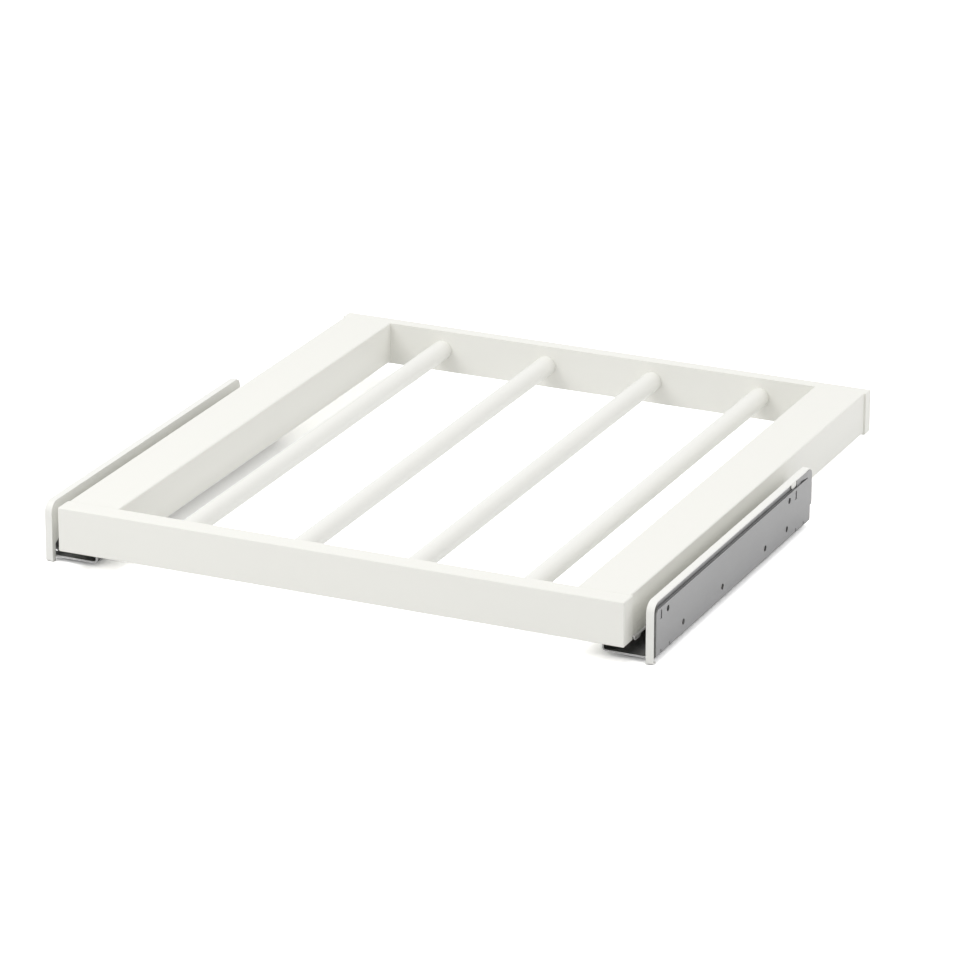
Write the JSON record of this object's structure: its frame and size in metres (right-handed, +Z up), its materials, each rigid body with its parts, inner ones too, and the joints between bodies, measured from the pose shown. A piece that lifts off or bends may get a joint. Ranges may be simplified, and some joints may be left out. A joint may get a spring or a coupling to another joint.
{
  "type": "pull out trouser rack",
  "caption": "Low white frame with parallel round rods for hanging trousers, pulled forward on telescopic roller runners that screw to a wardrobe's sides.",
  "frame": {"origin": "middle of the part's footprint, at the level of the runner covers' feet", "axes": "+X to the right seen from the front, +Y to the back of the wardrobe, +Z up; the frame pulls out along -Y"},
  "size_m": [0.464, 0.4684, 0.0465],
  "materials": {
    "white_foil": "white satin foil on fibreboard",
    "white_rods": "white satin powder coat on steel tube",
    "white_plastic": "smooth moulded white plastic",
    "galvanised_steel": "galvanised sheet",
    "dark_galvanised_steel": "oiled galvanised sheet",
    "screw_steel": "zinc plated",
    "roller_steel": "ground and polished",
    "cage_plastic": "natural nylon",
    "bumper_rubber": "moulded black rubber"
  },
  "bodies": {
    "runners": {"cabinet_profile_left": "galvanised_steel", "guide_rail_left": "galvanised_steel", "runner_cover_left": "white_plastic", "closing_bumper_left": "bumper_rubber", "cabinet_profile_right": "galvanised_steel", "guide_rail_right": "galvanised_steel", "runner_cover_right": "white_plastic", "closing_bumper_right": "bumper_rubber"},
    "frame": {"front_rail": "white_foil", "back_rail": "white_foil", "side_rail_left": "white_foil", "side_rail_right": "white_foil", "rod_1": "white_rods", "rod_2": "white_rods", "rod_3": "white_rods", "rod_4": "white_rods", "drawer_member_screws": "screw_steel", "drawer_member_left": "galvanised_steel", "drawer_member_right": "galvanised_steel"},
    "middle_left": {"middle_member_left": "dark_galvanised_steel"},
    "lower_cage_left": {"lower_cage_left": "cage_plastic", "lower_rollers_left": "roller_steel"},
    "upper_cage_left": {"upper_cage_left": "cage_plastic", "upper_rollers_left": "roller_steel"},
    "middle_right": {"middle_member_right": "dark_galvanised_steel"},
    "lower_cage_right": {"lower_cage_right": "cage_plastic", "lower_rollers_right": "roller_steel"},
    "upper_cage_right": {"upper_cage_right": "cage_plastic", "upper_rollers_right": "roller_steel"}
  },
  "joints": [
    {"name": "frame_slide", "type": "slide", "parent": "runners", "child": "frame", "axis": [0, -1, 0], "range_m": [0, 0.26]},
    {"name": "middle_left_slide", "type": "slide", "parent": "runners", "child": "middle_left", "axis": [0, -1, 0], "range_m": [0, 0.13]},
    {"name": "lower_cage_left_slide", "type": "slide", "parent": "runners", "child": "lower_cage_left", "axis": [0, -1, 0], "range_m": [0, 0.065]},
    {"name": "upper_cage_left_slide", "type": "slide", "parent": "runners", "child": "upper_cage_left", "axis": [0, -1, 0], "range_m": [0, 0.195]},
    {"name": "middle_right_slide", "type": "slide", "parent": "runners", "child": "middle_right", "axis": [0, -1, 0], "range_m": [0, 0.13]},
    {"name": "lower_cage_right_slide", "type": "slide", "parent": "runners", "child": "lower_cage_right", "axis": [0, -1, 0], "range_m": [0, 0.065]},
    {"name": "upper_cage_right_slide", "type": "slide", "parent": "runners", "child": "upper_cage_right", "axis": [0, -1, 0], "range_m": [0, 0.195]}
  ],
  "couplings": [
    {"joint": "middle_left_slide", "follows": "frame_slide", "ratio": 0.5},
    {"joint": "lower_cage_left_slide", "follows": "frame_slide", "ratio": 0.25},
    {"joint": "upper_cage_left_slide", "follows": "frame_slide", "ratio": 0.75},
    {"joint": "middle_right_slide", "follows": "frame_slide", "ratio": 0.5},
    {"joint": "lower_cage_right_slide", "follows": "frame_slide", "ratio": 0.25},
    {"joint": "upper_cage_right_slide", "follows": "frame_slide", "ratio": 0.75}
  ]
}
